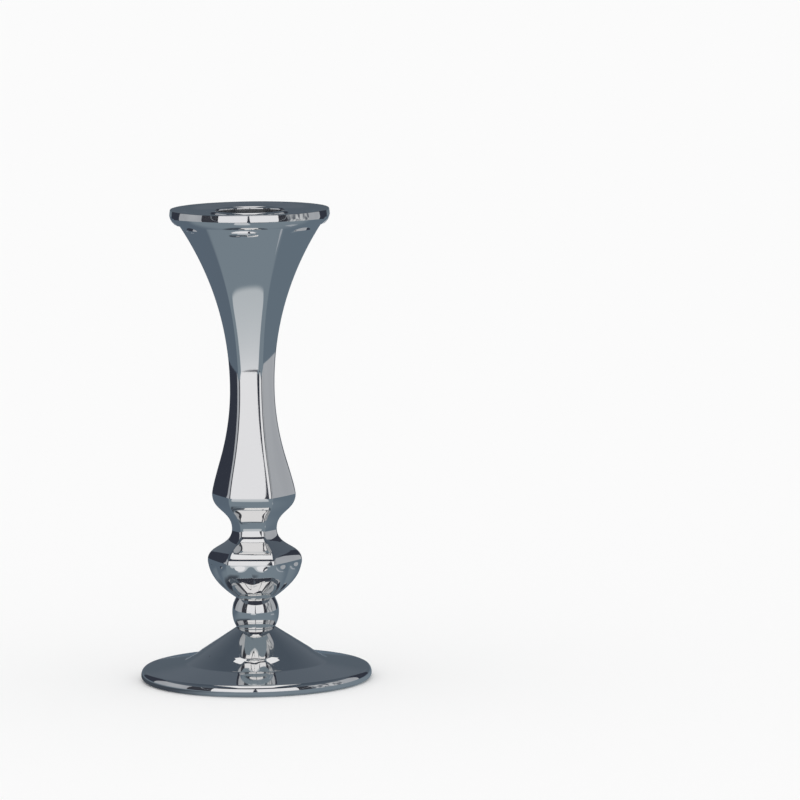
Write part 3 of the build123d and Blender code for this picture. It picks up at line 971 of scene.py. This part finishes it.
def silver():
    """Mirror polish with a trace of handling: soft waviness, faint wipe marks, tarnish in the joints."""
    finish = Finish("silver")
    open_air = finish.range(finish.crevice(1.2 * MM), 0.25, 0.75)
    patches = finish.noise(90, 3)
    closed_in = finish.maths("SUBTRACT", 1.0, open_air)
    tarnish = finish.maths("MULTIPLY", closed_in, finish.range(patches, 0.3, 0.7))
    finish.put("Base Color", finish.mix(tarnish, SILVER, (0.62, 0.60, 0.56)))
    finish.put("Metallic", 1.0)
    wipes = finish.noise(40, 4, (1, 1, 3.5))
    roughness = finish.range(wipes, 0.35, 0.75, 0.03, 0.055)
    finish.put("Roughness", finish.maths("MULTIPLY_ADD", tarnish, 0.12, roughness))
    finish.bump(finish.noise(130, 1), 0.0035 * MM)
    return finish.material


def satin_silver_painted_shade():
    """The bore, dulled to satin, its colour darkened as painted shade inside the cup."""
    finish = Finish("satin_silver_painted_shade")
    # Painted shade: a soft mottle between two dark greys stands for the shade inside the cup, and it also
    # varies the satin roughness
    bore_mottle = finish.range(finish.noise(260, 4, (1, 1, 0.4)), 0.35, 0.75)
    finish.put("Base Color", finish.mix(bore_mottle, (0.40, 0.41, 0.42), (0.27, 0.28, 0.29)))
    finish.put("Metallic", 1.0)
    finish.put("Roughness", finish.range(bore_mottle, 0.0, 1.0, 0.24, 0.34))
    finish.bump(finish.noise(700, 2, (1, 1, 0.3)), 0.006 * MM)
    return finish.material


def brass():
    """Machined brass with fine turning marks."""
    finish = Finish("brass")
    dulled = finish.range(finish.noise(300, 3), 0.35, 0.7)
    finish.put("Base Color", finish.mix(dulled, (0.80, 0.60, 0.27), (0.62, 0.44, 0.2)))
    finish.put("Metallic", 1.0)
    finish.put("Roughness", finish.range(finish.noise(800, 2, (1, 1, 8)), 0.3, 0.7, 0.22, 0.38))
    finish.bump(finish.noise(900, 1, (0.2, 0.2, 6)), 0.01 * MM)
    return finish.material


def plated_steel():
    """Zinc-plated steel, slightly cloudy."""
    finish = Finish("plated_steel")
    clouds = finish.range(finish.noise(500, 4), 0.3, 0.7)
    finish.put("Base Color", finish.mix(clouds, (0.55, 0.56, 0.58), (0.66, 0.66, 0.64)))
    finish.put("Metallic", 1.0)
    finish.put("Roughness", finish.range(finish.noise(1500, 3), 0.3, 0.7, 0.28, 0.45))
    finish.bump(finish.noise(1800, 2), 0.006 * MM)
    return finish.material


def filler():
    """Gritty cast ballast."""
    finish = Finish("filler")
    grit = finish.range(finish.noise(600, 5), 0.3, 0.7)
    finish.put("Base Color", finish.mix(grit, (0.36, 0.34, 0.31), (0.5, 0.48, 0.44)))
    finish.put("Roughness", 0.9)
    finish.bump(finish.noise(900, 5), 0.06 * MM)
    return finish.material


def baize():
    """Green wool baize."""
    finish = Finish("baize")
    fibres = finish.noise(5200, 4)
    tufts = finish.noise(900, 3)
    shade = finish.range(tufts, 0.3, 0.7)
    finish.put("Base Color", finish.mix(shade, (0.028, 0.085, 0.058), (0.05, 0.13, 0.09)))
    finish.put("Roughness", 0.95)
    finish.put("Sheen Weight", 0.5)
    finish.bump(finish.maths("ADD", fibres, tufts), 0.12 * MM)
    return finish.material


FINISHES = {
    "silver": silver(),
    "bore": satin_silver_painted_shade(),
    "brass": brass(),
    "steel": plated_steel(),
    "filler": filler(),
    "felt": baize(),
}

for piece in SILVER_PIECES:
    piece.data.materials.append(FINISHES["silver"])
FELT.data.materials.append(FINISHES["felt"])
CUP = SILVER_PIECES[1]
# The bore's faces take the dark satin finish that carries the painted shade
CUP.data.materials.append(FINISHES["bore"])
for face in CUP.data.polygons:
    x, y, z = face.center
    within = sqrt(x * x + y * y) < CANDLE_R + 0.01 * MM
    face.material_index = int(within and CUP_FLOOR_Z - 0.1 * MM < z < CUP_SEAT_Z)
for node, finish_name in HIDDEN_HARDWARE.items():
    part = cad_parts[node]
    for number in range(len(part.material_slots)):
        part.material_slots[number].material = FINISHES[finish_name]

bpy.context.scene.view_settings.view_transform = "Standard"
